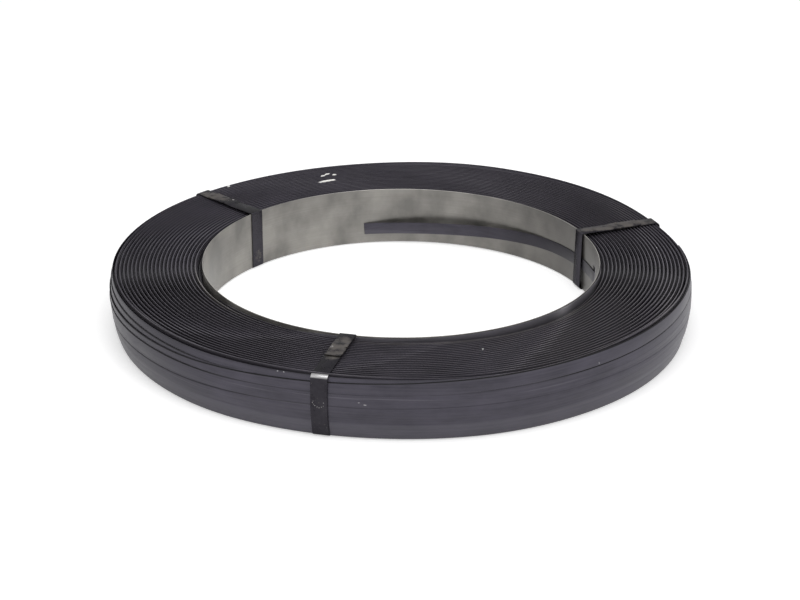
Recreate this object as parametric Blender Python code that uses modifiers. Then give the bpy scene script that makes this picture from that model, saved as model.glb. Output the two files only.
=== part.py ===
"""Steel strapping coil, lying flat, as a model in metres with +Z up.

A 13 mm strap is wound to and fro on a short sheet-steel core ring. Each reversal of the
winding leaves one ridge on either end, so the ends are rings of ridges and grooves. The
last turns lie side by side on the barrel-shaped outer face, and the strap's inner end comes
back through a slot in the core. Three narrow binding straps hold the coil together.

The origin is on the floor below the coil's axis. Angles run counter-clockwise from +X.
"""
import math

import bmesh
import bpy
from mathutils import Matrix

# Strap and binding stock
STRAP_WIDTH = 0.0130
STRAP_THICKNESS = 0.0005
BINDING_WIDTH = 0.0160
BINDING_THICKNESS = 0.0006

# Core ring: bore, sheet and height of its top edge above the floor
BORE_RADIUS = 0.2032
CORE_SHEET = 0.0008
CORE_TOP = 0.0632

# Winding: number of traverse cycles, where the first and the last crest stand off the bore
# and the rim, groove depth, heights and the outer barrel
RIDGES = 22
INNER_CREST = 0.0031
OUTER_CREST = 0.0031
GROOVE_DEPTH = 0.0130
BORE_EDGE_DROP = 0.0040
OUTER_RIDGE_TOP = 0.0618
RIM_LAND = 0.0014
INNER_RIDGE_DROP = 0.0020
BARREL_RADIUS = 0.2975
BARREL_BULGE = 0.0026
BARREL_MIDDLE = 0.0369
BARREL_ROWS = 6

# Last turns on the outer face. The wound angle counts clockwise from LAST_TURN_ZERO. Each
# turn steps down by one pitch in its first stretch, over the turn before, then runs level
LAST_TURN_SPACE = 0.0008
LAST_TURN_STEP = math.radians(130.0)
LAST_TURN_ZERO = math.radians(305.0)
RIM_STEP = 0.0007
FIRST_BAND_START = math.radians(-342.0)
BAND_JOIN = math.radians(7.5)
BAND_TUCK = 0.0001
CROSSING_RAMP = math.radians(18.0)
OUTER_END_PART = math.radians(195.0)
BAND_ROOT = 0.0008

# Inner end of the strap and its slot in the core
SLOT_ANGLE = math.radians(7.4)
SLOT_WIDTH = 0.0085
SLOT_BELOW_STRAP = 0.0026
SLOT_ABOVE_STRAP = 0.0059
SLOT_RUN_IN = math.radians(2.7)
SLOT_RUN_OUT = math.radians(1.5)
TAIL_END_ANGLE = math.radians(101.7)
TAIL_LIFT_ANGLE = math.radians(37.5)
TAIL_TOP = 0.0365
TAIL_FALL = 0.0124
TAIL_FALL_POWER = 1.4
TAIL_BOW = 0.0106
TAIL_BOW_POWER = 1.35

# Bindings: azimuth, where the notch and the cut end of the lap lie on the way from the
# bore to the rim, and whether the binding goes over the strap's inner end
BINDINGS = (
    ("binding_strap_front", math.radians(254.9), 0.34, 0.55, False),
    ("binding_strap_left", math.radians(138.9), 0.50, 0.775, False),
    ("binding_strap_right", math.radians(21.6), 0.49, 0.755, True),
)
LAP_INSIDE_NOTCH = 0.0080
LAP_CLIMB = 0.0030
NOTCH_LENGTH = 0.0030
NOTCH_DEPTH = 0.0016
BINDING_OUTER_BEND = 0.0035
BINDING_FOOT_BEND = 0.0025
BINDING_INNER_BEND = 0.0006
BINDING_RIM_SPACE = 0.0019
BINDING_FOOT_SPACE = 0.0024
BINDING_FLAT_BELOW = 0.0120
BINDING_FLAT_ABOVE = 0.0120

# Fits and facets
GAP = 0.0003
SEGMENTS = 48
ARC_STEPS = 5
MERGE = 0.00005
SMOOTH_ANGLE = math.radians(28.0)
SLIGHT_BEND = math.radians(12.0)
CUTTER_REACH = 0.010

TURN = 2.0 * math.pi
FACET = TURN / SEGMENTS
BASE = BINDING_THICKNESS + GAP
CORE_OUTER = BORE_RADIUS + CORE_SHEET
WINDING_BORE = CORE_OUTER + GAP
MIDDLE_HEIGHT = (OUTER_RIDGE_TOP + BASE) / 2.0
SLOT_TOP = TAIL_TOP + SLOT_ABOVE_STRAP
SLOT_BOTTOM = TAIL_TOP - STRAP_WIDTH - SLOT_BELOW_STRAP
LAST_TURN_PITCH = STRAP_WIDTH + LAST_TURN_SPACE
LAST_TURN_TOP = OUTER_RIDGE_TOP - RIM_STEP
LAST_TURNS = math.floor((LAST_TURN_TOP - BASE) / LAST_TURN_PITCH) - 1
OUTER_END = (LAST_TURNS - 1) * TURN + OUTER_END_PART


def clear_scene():
    for obj in list(bpy.data.objects):
        bpy.data.objects.remove(obj, do_unlink=True)


def new_collection(name):
    collection = bpy.data.collections.new(name)
    bpy.context.scene.collection.children.link(collection)
    return collection


def steel(name, color, roughness, metallic):
    """A plain steel finish from the photographed colour."""
    material = bpy.data.materials.new(name)
    material.use_nodes = True
    shader = material.node_tree.nodes["Principled BSDF"]
    shader.inputs["Base Color"].default_value = (*color, 1.0)
    shader.inputs["Roughness"].default_value = roughness
    shader.inputs["Metallic"].default_value = metallic
    return material


def place(name, mesh, collection, material=None):
    obj = bpy.data.objects.new(name, mesh)
    collection.objects.link(obj)
    if material:
        mesh.materials.append(material)
    return obj


def smooth(mesh):
    mesh.shade_smooth()
    mesh.set_sharp_from_angle(angle=SMOOTH_ANGLE)


def turned(name, profile, collection, material):
    """A ring turned about Z from a closed profile of (radius, height) points."""
    mesh = bpy.data.meshes.new(name)
    shape = bmesh.new()
    corners = [shape.verts.new((radius, 0.0, height)) for radius, height in profile]
    for first, second in zip(corners, corners[1:] + corners[:1]):
        shape.edges.new((first, second))
    shape.to_mesh(mesh)
    shape.free()
    obj = place(name, mesh, collection, material)
    screw = obj.modifiers.new("turn", "SCREW")
    screw.axis = "Z"
    screw.angle = TURN
    screw.steps = SEGMENTS
    screw.render_steps = SEGMENTS
    screw.use_merge_vertices = True
    screw.merge_threshold = MERGE
    return obj


def applied(obj, collection):
    """The object again, with its modifiers turned into plain mesh."""
    bpy.context.view_layer.update()
    evaluated = obj.evaluated_get(bpy.context.evaluated_depsgraph_get())
    mesh = bpy.data.meshes.new_from_object(evaluated)
    weld(mesh)
    name = obj.name
    matrix = obj.matrix_world.copy()
    bpy.data.objects.remove(obj, do_unlink=True)
    result = place(name, mesh, collection)
    mesh.name = name
    result.matrix_world = matrix
    return result


def weld(mesh):
    shape = bmesh.new()
    shape.from_mesh(mesh)
    bmesh.ops.remove_doubles(shape, verts=shape.verts, dist=MERGE)
    bmesh.ops.recalc_face_normals(shape, faces=shape.faces)
    shape.to_mesh(mesh)
    shape.free()


def combine(obj, operand, operation, cutters):
    """Join an operand to the object, or cut it away."""
    operand.hide_render = True
    operand.display_type = "WIRE"
    for collection in list(operand.users_collection):
        collection.objects.unlink(operand)
    cutters.objects.link(operand)
    boolean = obj.modifiers.new(operation.lower(), "BOOLEAN")
    boolean.operation = operation
    boolean.object = operand
    boolean.solver = "EXACT"


def barrel_radius(height):
    """Radius of the outer face under the last turns, which bulges in the middle."""
    share = (height - BARREL_MIDDLE) / (OUTER_RIDGE_TOP - BARREL_MIDDLE)
    return BARREL_RADIUS - BARREL_BULGE * share ** 2


def ridge_top(radius):
    """Height of the ridge crests, which rise a little from the core outwards."""
    outward = (radius - WINDING_BORE) / (barrel_radius(OUTER_RIDGE_TOP) - WINDING_BORE)
    return OUTER_RIDGE_TOP - INNER_RIDGE_DROP * (1.0 - outward) ** 2


def winding_profile():
    """Outer side top to bottom, the bottom end inwards, the bore up, the top end outwards."""
    top_radius = barrel_radius(OUTER_RIDGE_TOP)
    first_crest = WINDING_BORE + INNER_CREST
    last_crest = top_radius - OUTER_CREST
    pitch = (last_crest - first_crest) / (RIDGES - 1)
    top_end = [(WINDING_BORE, ridge_top(WINDING_BORE) - BORE_EDGE_DROP)]
    for ridge in range(RIDGES):
        crest = first_crest + ridge * pitch
        groove = crest - pitch / 2.0
        top_end.append((groove, ridge_top(groove) - GROOVE_DEPTH))
        top_end.append((crest, ridge_top(crest)))
    rim_inside = top_radius - RIM_LAND
    rim_groove = (last_crest + rim_inside) / 2.0
    top_end.append((rim_groove, ridge_top(rim_groove) - GROOVE_DEPTH))
    top_end.append((rim_inside, OUTER_RIDGE_TOP))
    top_end.append((top_radius, OUTER_RIDGE_TOP))
    bottom_radius = barrel_radius(BASE)
    squeeze = (bottom_radius - WINDING_BORE) / (top_radius - WINDING_BORE)
    bottom_end = [
        (WINDING_BORE + (radius - WINDING_BORE) * squeeze, 2.0 * MIDDLE_HEIGHT - height)
        for radius, height in reversed(top_end)
    ]
    outer_side = []
    for row in range(1, BARREL_ROWS):
        height = OUTER_RIDGE_TOP + (BASE - OUTER_RIDGE_TOP) * row / BARREL_ROWS
        outer_side.append((barrel_radius(height), height))
    return top_end[-1:] + outer_side + bottom_end + top_end[:-1]


def ribbon(name, stations, thickness, collection):
    """A strip through (angle, upper radius, top, lower radius, bottom) stations.

    The radii are those of its outer face, and it is thickened inwards.
    """
    mesh = bpy.data.meshes.new(name)
    shape = bmesh.new()
    bmesh.ops.create_grid(shape, x_segments=len(stations) - 1, y_segments=1, size=0.5)
    shape.verts.ensure_lookup_table()
    for vertex in shape.verts:
        station = stations[round((vertex.co.x + 0.5) * (len(stations) - 1))]
        angle, top_radius, top, bottom_radius, bottom = station
        upper = vertex.co.y > 0.0
        radius = top_radius if upper else bottom_radius
        height = top if upper else bottom
        vertex.co = (radius * math.cos(angle), radius * math.sin(angle), height)
    bmesh.ops.recalc_face_normals(shape, faces=shape.faces)
    first = shape.faces[:][0]
    if first.normal.dot(first.calc_center_median()) < 0.0:
        bmesh.ops.reverse_faces(shape, faces=shape.faces)
    shape.to_mesh(mesh)
    shape.free()
    strip = place(name, mesh, collection)
    solidify = strip.modifiers.new("thickness", "SOLIDIFY")
    solidify.thickness = thickness
    solidify.offset = -1.0
    solidify.use_even_offset = True
    return applied(strip, collection)


def last_turn_top(wound):
    """Top edge of the outermost strap at a wound angle from where it leaves the rim."""
    whole = math.floor(max(wound, 0.0) / TURN)
    part = min(max((wound - whole * TURN) / LAST_TURN_STEP, 0.0), 1.0)
    eased = part * part * (3.0 - 2.0 * part)
    return LAST_TURN_TOP - LAST_TURN_PITCH * (whole + eased)


def last_turn_band(name, start, end, proud, tuck, collection):
    """Part of the outermost strap, wound clockwise and downwards.

    The tuck narrows a band a little, where it joins another band and lies within it.
    """
    facets = round((end - start) / FACET)
    first = round((LAST_TURN_ZERO - start) / FACET)
    stations = []
    for facet in range(facets + 1):
        angle = (first - facet) * FACET
        wound = LAST_TURN_ZERO - angle
        top = last_turn_top(wound) - tuck
        bottom = last_turn_top(wound) - STRAP_WIDTH + tuck
        lift = proud(wound) - tuck
        stations.append((angle, barrel_radius(top) + lift, top, barrel_radius(bottom) + lift, bottom))
    return ribbon(name, stations, STRAP_THICKNESS * 2.0 + BAND_ROOT, collection)


def one_thickness(wound):
    """A turn that lies on the winding stands out by the strap's thickness."""
    return STRAP_THICKNESS


def over_the_first_band(wound):
    """The strap climbs by its own thickness where it crosses the turn before it."""
    climb = min(wound / CROSSING_RAMP, 1.0)
    away = min(max(wound - LAST_TURN_STEP + CROSSING_RAMP, 0.0) / CROSSING_RAMP, 1.0)
    return STRAP_THICKNESS * (1.0 + climb - away)


def tail_stations():
    """The inner end: out of the winding, through the slot, along the wall and bowed off it."""
    wall = BORE_RADIUS - GAP
    flat = wall * math.cos(FACET / 2.0)
    root = WINDING_BORE + BAND_ROOT + STRAP_THICKNESS
    run_in = SLOT_ANGLE - SLOT_RUN_IN
    stations = [
        (run_in - SLOT_RUN_IN, root + BAND_ROOT, TAIL_TOP, root + BAND_ROOT, TAIL_TOP - STRAP_WIDTH),
        (run_in, root, TAIL_TOP, root, TAIL_TOP - STRAP_WIDTH),
        (SLOT_ANGLE + SLOT_RUN_OUT, flat, TAIL_TOP, flat, TAIL_TOP - STRAP_WIDTH),
    ]
    facet = math.floor(stations[-1][0] / FACET) + 1
    while facet * FACET < TAIL_END_ANGLE:
        stations.append(tail_station(facet * FACET, wall))
        facet += 1
    stations.append(tail_station(TAIL_END_ANGLE, flat))
    return stations


def tail_station(angle, wall):
    run = (angle - SLOT_ANGLE) / (TAIL_END_ANGLE - SLOT_ANGLE)
    top = TAIL_TOP - TAIL_FALL * run ** TAIL_FALL_POWER
    bow = 0.0
    if angle > TAIL_LIFT_ANGLE:
        share = (angle - TAIL_LIFT_ANGLE) / (TAIL_END_ANGLE - TAIL_LIFT_ANGLE)
        bow = TAIL_BOW * math.sin(math.pi * share ** TAIL_BOW_POWER)
    return (angle, wall - bow, top, wall - bow, top - STRAP_WIDTH)


def build_winding(collection, cutters, material):
    winding = turned("strap_winding", winding_profile(), collection, material)
    smooth(winding.data)
    first_band = last_turn_band(
        "first_band", FIRST_BAND_START, BAND_JOIN, one_thickness, BAND_TUCK, cutters)
    last_band = last_turn_band(
        "last_band", 0.0, OUTER_END, over_the_first_band, 0.0, cutters)
    tail = ribbon("inner_end", tail_stations(), STRAP_THICKNESS, cutters)
    for operand in (first_band, last_band, tail):
        combine(winding, operand, "UNION", cutters)
    return winding


def box(name, size, location, angle, collection):
    mesh = bpy.data.meshes.new(name)
    shape = bmesh.new()
    bmesh.ops.create_cube(shape, size=1.0)
    bmesh.ops.scale(shape, vec=size, verts=shape.verts)
    shape.to_mesh(mesh)
    shape.free()
    obj = place(name, mesh, collection)
    obj.matrix_world = Matrix.Rotation(angle, 4, "Z") @ Matrix.Translation(location)
    return obj


def build_core(collection, cutters, material):
    profile = [
        (CORE_OUTER, CORE_TOP),
        (CORE_OUTER, BASE),
        (BORE_RADIUS, BASE),
        (BORE_RADIUS, CORE_TOP),
    ]
    core = turned("core_ring", profile, collection, material)
    smooth(core.data)
    slot = box(
        "core_slot",
        (2.0 * CUTTER_REACH, SLOT_WIDTH, SLOT_TOP - SLOT_BOTTOM),
        (BORE_RADIUS, 0.0, (SLOT_TOP + SLOT_BOTTOM) / 2.0),
        SLOT_ANGLE,
        cutters,
    )
    combine(core, slot, "DIFFERENCE", cutters)
    return core


def rounded(corners):
    """A closed outline from (x, y, bend radius) corners, each bend an arc."""
    outline = []
    count = len(corners)
    for index, (x, y, bend) in enumerate(corners):
        before = corners[index - 1]
        after = corners[(index + 1) % count]
        inward = math.atan2(before[1] - y, before[0] - x)
        outward = math.atan2(after[1] - y, after[0] - x)
        half = abs((outward - inward + math.pi) % TURN - math.pi) / 2.0
        turn = math.pi - 2.0 * half
        if bend <= 0.0 or turn < SLIGHT_BEND:
            outline.append((x, y))
            continue
        middle = math.atan2(
            math.sin(inward) + math.sin(outward), math.cos(inward) + math.cos(outward))
        reach = bend / math.sin(half)
        center = (x + reach * math.cos(middle), y + reach * math.sin(middle))
        side = 1.0 if math.sin(outward - inward) < 0.0 else -1.0
        for step in range(ARC_STEPS + 1):
            heading = middle + math.pi + side * turn * (step / ARC_STEPS - 0.5)
            outline.append((
                center[0] + bend * math.cos(heading),
                center[1] + bend * math.sin(heading),
            ))
    return outline


def binding_inner_run(over_tail):
    """Radius of a binding's coil side in the bore, clear of the facets and of the inner end."""
    corner = BINDING_WIDTH / 2.0
    clear = (BORE_RADIUS - GAP) * math.cos(FACET / 2.0)
    if over_tail:
        clear -= STRAP_THICKNESS + GAP
    return math.sqrt(clear ** 2 - corner ** 2) - GAP


def binding_outlines(notch, lap_end, inner_run):
    """The coil side and the outer side of a binding, as seen along the coil's rim."""
    face = BARREL_RADIUS + STRAP_THICKNESS + GAP
    rim = barrel_radius(OUTER_RIDGE_TOP) + BINDING_RIM_SPACE
    foot = barrel_radius(BASE) + BINDING_FOOT_SPACE
    flat_low = BARREL_MIDDLE - BINDING_FLAT_BELOW
    flat_high = BARREL_MIDDLE + BINDING_FLAT_ABOVE
    low, high = BINDING_THICKNESS, CORE_TOP + GAP
    rim_high = OUTER_RIDGE_TOP + GAP
    slope = (high - rim_high) / (rim - inner_run)
    coil_side = [
        (inner_run, low, BINDING_INNER_BEND),
        (foot, low, BINDING_FOOT_BEND),
        (face, flat_low, 0.0),
        (face, flat_high, 0.0),
        (rim, rim_high, BINDING_OUTER_BEND),
        (inner_run, high, BINDING_INNER_BEND),
    ]
    out = BINDING_THICKNESS
    lap_start = notch - LAP_INSIDE_NOTCH
    lap_foot = lap_start - LAP_CLIMB

    def top_side(radius, layers):
        """A point on top of one or two layers of the sloping top run."""
        return (radius, high - slope * (radius - inner_run) + out * layers, 0.0)

    outer_side = [
        (inner_run - out, low - out, BINDING_INNER_BEND + out),
        (foot + out, low - out, BINDING_FOOT_BEND + out),
        (face + out, flat_low, 0.0),
        (face + out, flat_high, 0.0),
        (rim + out, rim_high + out, BINDING_OUTER_BEND + out),
        top_side(lap_end, 1),
        top_side(lap_end, 2),
        top_side(lap_start, 2),
        top_side(lap_foot, 1),
        (inner_run - out, high + out, BINDING_INNER_BEND + out),
    ]
    return rounded(coil_side), rounded(outer_side)


def build_binding(name, angle, notch_share, end_share, over_tail, collection, cutters, material):
    """One loop of binding strap: a flat outline as wide as the strap, stood on edge."""
    inner_run = binding_inner_run(over_tail)
    run = barrel_radius(OUTER_RIDGE_TOP) - inner_run
    notch = inner_run + run * notch_share
    lap_end = inner_run + run * end_share
    curve = bpy.data.curves.new(name, "CURVE")
    curve.dimensions = "2D"
    curve.fill_mode = "BOTH"
    curve.extrude = BINDING_WIDTH / 2.0
    for outline in binding_outlines(notch, lap_end, inner_run):
        spline = curve.splines.new("POLY")
        spline.points.add(len(outline) - 1)
        for point, (x, y) in zip(spline.points, outline):
            point.co = (x, y, 0.0, 1.0)
        spline.use_cyclic_u = True
    outline_object = bpy.data.objects.new(name, curve)
    collection.objects.link(outline_object)
    outline_object.matrix_world = (
        Matrix.Rotation(angle, 4, "Z") @ Matrix.Rotation(math.pi / 2.0, 4, "X"))
    binding = applied(outline_object, collection)
    binding.data.materials.clear()
    binding.data.materials.append(material)
    smooth(binding.data)
    for side in (-1.0, 1.0):
        cutter = box(
            f"{name}_notch_{'right' if side > 0.0 else 'left'}",
            (NOTCH_LENGTH, 2.0 * NOTCH_DEPTH, 2.0 * CUTTER_REACH),
            (notch, side * BINDING_WIDTH / 2.0, CORE_TOP),
            angle,
            cutters,
        )
        combine(binding, cutter, "DIFFERENCE", cutters)
    return binding


def main():
    clear_scene()
    collection = new_collection("steel_strapping_coil")
    cutters = new_collection("cutters")
    waxed = steel("waxed_black_strap", (0.045, 0.043, 0.047), 0.42, 0.70)
    sheet = steel("core_sheet_steel", (0.33, 0.32, 0.28), 0.38, 0.90)
    binding = steel("black_binding_strap", (0.035, 0.031, 0.030), 0.38, 0.60)
    build_winding(collection, cutters, waxed)
    build_core(collection, cutters, sheet)
    for name, angle, notch_share, end_share, over_tail in BINDINGS:
        build_binding(
            name, angle, notch_share, end_share, over_tail, collection, cutters, binding)


main()
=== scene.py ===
# %% [markdown]
# # A coil of steel strapping, dressed for its portrait
#
# Steel strapping is sold wound up: a thin black steel strip, 13 mm wide, laid to and fro on a
# short steel ring until it makes a wheel of nearly 60 cm. Three narrow straps hold the wheel
# together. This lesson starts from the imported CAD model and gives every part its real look.
# The CAD model is the frame: its sizes are read here, and nothing in it is moved.

# %% Load the frame
import math

import bmesh
import bpy
import numpy as np
from mathutils import Matrix, Vector


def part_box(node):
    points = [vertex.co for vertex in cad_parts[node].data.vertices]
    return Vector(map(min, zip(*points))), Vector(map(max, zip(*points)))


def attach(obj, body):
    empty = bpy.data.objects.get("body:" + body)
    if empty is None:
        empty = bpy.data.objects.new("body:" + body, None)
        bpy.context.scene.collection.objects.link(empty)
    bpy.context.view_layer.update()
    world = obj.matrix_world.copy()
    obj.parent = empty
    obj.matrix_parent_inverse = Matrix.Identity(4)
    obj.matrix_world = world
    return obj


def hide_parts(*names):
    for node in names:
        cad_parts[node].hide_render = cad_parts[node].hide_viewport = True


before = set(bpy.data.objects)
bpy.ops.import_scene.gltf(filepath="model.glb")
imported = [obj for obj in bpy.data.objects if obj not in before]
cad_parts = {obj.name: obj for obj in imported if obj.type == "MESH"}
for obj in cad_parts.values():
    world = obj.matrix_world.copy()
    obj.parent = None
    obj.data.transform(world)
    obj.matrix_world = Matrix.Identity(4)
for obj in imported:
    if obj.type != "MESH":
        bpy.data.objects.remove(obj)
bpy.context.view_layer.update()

# %% [markdown]
# ## Small helpers
#
# Colours are picked from a picture as sRGB hex values, but Blender mixes light in linear
# values, so one function turns the one into the other. Another adds a node to any tree with
# its settings and its links. Where many nodes only reckon with numbers, formulas are easier to
# read than a row of calls, so a third function adds a node for each line of formulas.


# %% Helpers for colours, nodes and objects
def linear(hex_color):
    """An sRGB hex colour as linear red, green, blue and alpha."""
    parts = [int(hex_color[place:place + 2], 16) / 255.0 for place in (1, 3, 5)]
    return (*[p / 12.92 if p <= 0.04045 else ((p + 0.055) / 1.055) ** 2.4 for p in parts], 1.0)


def feed(node, inputs):
    """Gives a node its inputs: each a plain value, or the socket or node that feeds it."""
    for key, value in inputs.items():
        if isinstance(value, bpy.types.Node):
            value = value.outputs[0]
        if isinstance(value, bpy.types.NodeSocket):
            node.id_data.links.new(value, node.inputs[key])
        else:
            node.inputs[key].default_value = value


def add_node(tree, kind, inputs=None, **settings):
    """A new node in a tree, with its settings and its inputs."""
    node = tree.nodes.new(kind)
    for name, value in settings.items():
        setattr(node, name, value)
    feed(node, inputs or {})
    return node


RANGE_INPUTS = ("Value", "From Min", "From Max", "To Min", "To Max")
SIGNS = {"+": "ADD", "-": "SUBTRACT", "*": "MULTIPLY", "/": "DIVIDE"}


def add_steps(tree, known, steps):
    """Adds a node for each line: what it gives, an equals sign, and what it reckons with.

    That is two terms with a sign between them, or a * b + c, or an operation and its terms.
    The operation is a Math node's, or RANGE for a Map Range node. Terms are numbers or names.
    """
    for name, right_side in (line.split(" = ") for line in steps):
        operation, *terms = words = right_side.split()
        if terms[0] in SIGNS:
            operation = "MULTIPLY_ADD" if len(words) == 5 else SIGNS[terms[0]]
            terms = words[::2]
        terms = [known[term] if term in known else float(term) for term in terms]
        if operation == "RANGE":
            known[name] = add_node(tree, "ShaderNodeMapRange", dict(zip(RANGE_INPUTS, terms)))
        else:
            known[name] = add_node(
                tree, "ShaderNodeMath", dict(enumerate(terms)), operation=operation)


def linked(name, data):
    """A new object in the scene."""
    thing = bpy.data.objects.new(name, data)
    bpy.context.scene.collection.objects.link(thing)
    return thing


# %% [markdown]
# ## The sizes that the looks need
#
# The CAD box of the core ring gives its low and top heights, and the other sizes are given here.
# The strap's own thickness, the number of turns and the way the winding runs to and fro come from
# counting its ridges: 22 ridges, and eight turns of 0.5 mm strap to each.

# %% Sizes
STRAP_WIDTH = 0.0130
STRAP_THICKNESS = 0.0005
BINDING_WIDTH = 0.0160
BINDING_THICKNESS = 0.0006
CORE_SHEET = 0.0008
BORE_RADIUS = 0.2032
WINDING_BORE = BORE_RADIUS + CORE_SHEET + 0.0003
BARREL_RADIUS = 0.2980
BARREL_BULGE = 0.0026
CORE_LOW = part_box("core_ring")[0][2]
CORE_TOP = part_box("core_ring")[1][2]
RIDGE_TOP = CORE_TOP - 0.0014
BARREL_MIDDLE = CORE_LOW + 0.0360
MIDDLE_HEIGHT = (RIDGE_TOP + CORE_LOW) / 2.0
UNDER_LAST_TURNS = 0.0012
TURNS = 180


def barrel_radius(height):
    """Radius of the winding's outer face, which bulges in the middle."""
    share = (height - BARREL_MIDDLE) / (RIDGE_TOP - BARREL_MIDDLE)
    return BARREL_RADIUS - BARREL_BULGE * share ** 2


WINDING_RIM = barrel_radius(RIDGE_TOP) - UNDER_LAST_TURNS
print("turns of", round((WINDING_RIM - WINDING_BORE) / TURNS * 1000.0, 3), "mm")

# %% [markdown]
# ## The camera
#
# The rim and the bore of a coil are circles, and a circle's picture tells where the camera
# stood. Fitting the four ellipses of the photograph gives a long lens, two metres away, that
# looks down by 23 degrees.

# %% Camera
PICTURE_WIDTH = 800.0
FOCAL_PIXELS = 2179.24
LOOK_DOWN = math.radians(22.987)
CAMERA_ROLL = math.radians(-0.0634)
CAMERA_PLACE = Vector((-0.00112, -2.08023, 0.89663 + CORE_LOW))

camera_data = bpy.data.cameras.new("camera")
camera_data.sensor_width = 36.0
camera_data.lens = FOCAL_PIXELS / PICTURE_WIDTH * camera_data.sensor_width
camera_data.clip_start = 0.05
camera_data.clip_end = 50.0
camera = linked("camera", camera_data)
camera.matrix_world = (
    Matrix.Translation(CAMERA_PLACE)
    @ Matrix.Rotation(math.pi / 2.0 - LOOK_DOWN, 4, "X")
    @ Matrix.Rotation(-CAMERA_ROLL, 4, "Z")
)
bpy.context.scene.camera = camera
print("lens", round(camera_data.lens, 2), "mm")

# %% [markdown]
# ## Finish: blackened and waxed strap steel
#
# Strapping is cold-rolled steel, blackened in an oxide bath and waxed so that it slides in
# the tensioner. The oxide is a dark blue-grey, and the wax leaves it satin, with faint
# streaks along the strap. The streaks have to run round the coil, so the pattern is read in
# coordinates that go round the axis: the cosine and sine of the angle, which have no seam,
# and the radius plus the height, which changes across a strap whichever way it faces.


# %% Coordinates that run round the coil
def add_round_coordinates(tree, known, along, across):
    """A vector for textures: slow along the strap, fast across it. The scales are per metre."""
    heading = add_node(tree, "ShaderNodeVectorMath", {0: known["flat"]}, operation="NORMALIZE")
    run = add_node(
        tree, "ShaderNodeVectorMath", {0: heading, "Scale": along * BARREL_RADIUS},
        operation="SCALE")
    rise = add_node(tree, "ShaderNodeMath", {0: known["radius"], 1: known["z"]}, operation="ADD")
    level = add_node(tree, "ShaderNodeMath", {0: rise, 1: across}, operation="MULTIPLY")
    lift = add_node(tree, "ShaderNodeCombineXYZ", {2: level})
    return add_node(tree, "ShaderNodeVectorMath", {0: run, 1: lift}, operation="ADD")


# %% [markdown]
# Small marks sit at known places: paint dabs on the ends, scuffs on the faces. A Mapping node
# of the texture kind moves, turns and scales its input back, so each mark becomes a unit
# ball round its own middle, and the nearest ball gives the mask.


# %% Marks at known places
def at(angle, radius, height, half_along, half_out, half_up, turn=0.0):
    """A mark's place and half sizes in millimetres, at an angle in degrees round the coil."""
    heading = math.radians(angle)
    middle = (
        radius * math.cos(heading) / 1000.0, radius * math.sin(heading) / 1000.0,
        height / 1000.0)
    size = (half_out / 1000.0, half_along / 1000.0, half_up / 1000.0)
    return middle, heading + math.radians(turn), size


# A dab and specks of white paint on the strap's edges
PAINT_MARKS = (
    at(108.15, 249.9, 61.5, 4.4, 2.2, 6.0, 4.0), at(109.2, 249.6, 61.5, 7.0, 2.3, 6.0, 4.0),
    at(110.3, 249.2, 61.5, 7.0, 2.2, 6.0, 4.0), at(111.3, 248.9, 61.5, 4.0, 2.0, 6.0, 4.0),
    at(108.6, 269.4, 61.5, 8.4, 1.5, 6.0, 30.0),
    at(106.5, 266.0, 61.5, 2.6, 2.1, 5.0), at(111.2, 269.5, 61.5, 1.0, 0.9, 4.0),
    at(131.7, 290.5, 62.5, 1.8, 2.0, 4.0),
    at(319.3, 231.5, 61.0, 0.8, 0.8, 2.0), at(313.8, 231.0, 61.0, 0.7, 0.8, 2.0),
    at(181.5, 252.6, 61.0, 0.9, 0.7, 2.0), at(6.7, 268.4, 61.0, 0.7, 0.6, 2.0),
    at(288.8, 236.7, 61.0, 0.7, 0.8, 2.0), at(340.5, 205.6, 61.5, 0.9, 0.9, 2.0),
)
# Scuffs on the outer face, and the ring of specks that a tool left on the front binding
FACE_SCUFFS = (
    at(263.7, 298.0, 37.2, 1.5, 2.0, 0.45), at(262.6, 298.0, 39.0, 0.9, 2.0, 0.4),
    at(277.7, 298.0, 5.4, 0.7, 2.0, 0.7), at(308.0, 298.0, 51.6, 0.5, 2.0, 1.2),
    at(247.6, 295.5, 60.8, 0.8, 2.0, 0.5), at(248.8, 295.5, 60.8, 0.7, 2.0, 0.5),
)
BINDING_SCUFFS = tuple(
    at(255.5 + spot_angle, 299.2, spot_height, 0.4, 2.0, 0.35)
    for spot_angle, spot_height in (
        (-1.0, 37.5), (-1.1, 36.2), (-0.9, 34.6), (-0.7, 33.2), (-0.3, 32.0), (0.1, 31.6),
        (0.5, 32.4), (0.8, 33.6), (0.9, 36.9))
) + (at(254.1, 236.0, 63.6, 1.6, 1.8, 1.5), at(138.0, 248.0, 63.6, 1.4, 1.6, 1.5))
# Where the tool gripped each lap and rubbed it to a brownish grey
BINDING_WEAR = (
    at(255.6, 236.0, 63.5, 10.0, 27.0, 3.0), at(138.9, 271.0, 63.5, 9.0, 22.0, 3.0),
    at(21.4, 250.0, 63.5, 9.0, 50.0, 3.0), at(140.3, 203.0, 13.0, 5.0, 3.0, 7.0))


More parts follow.
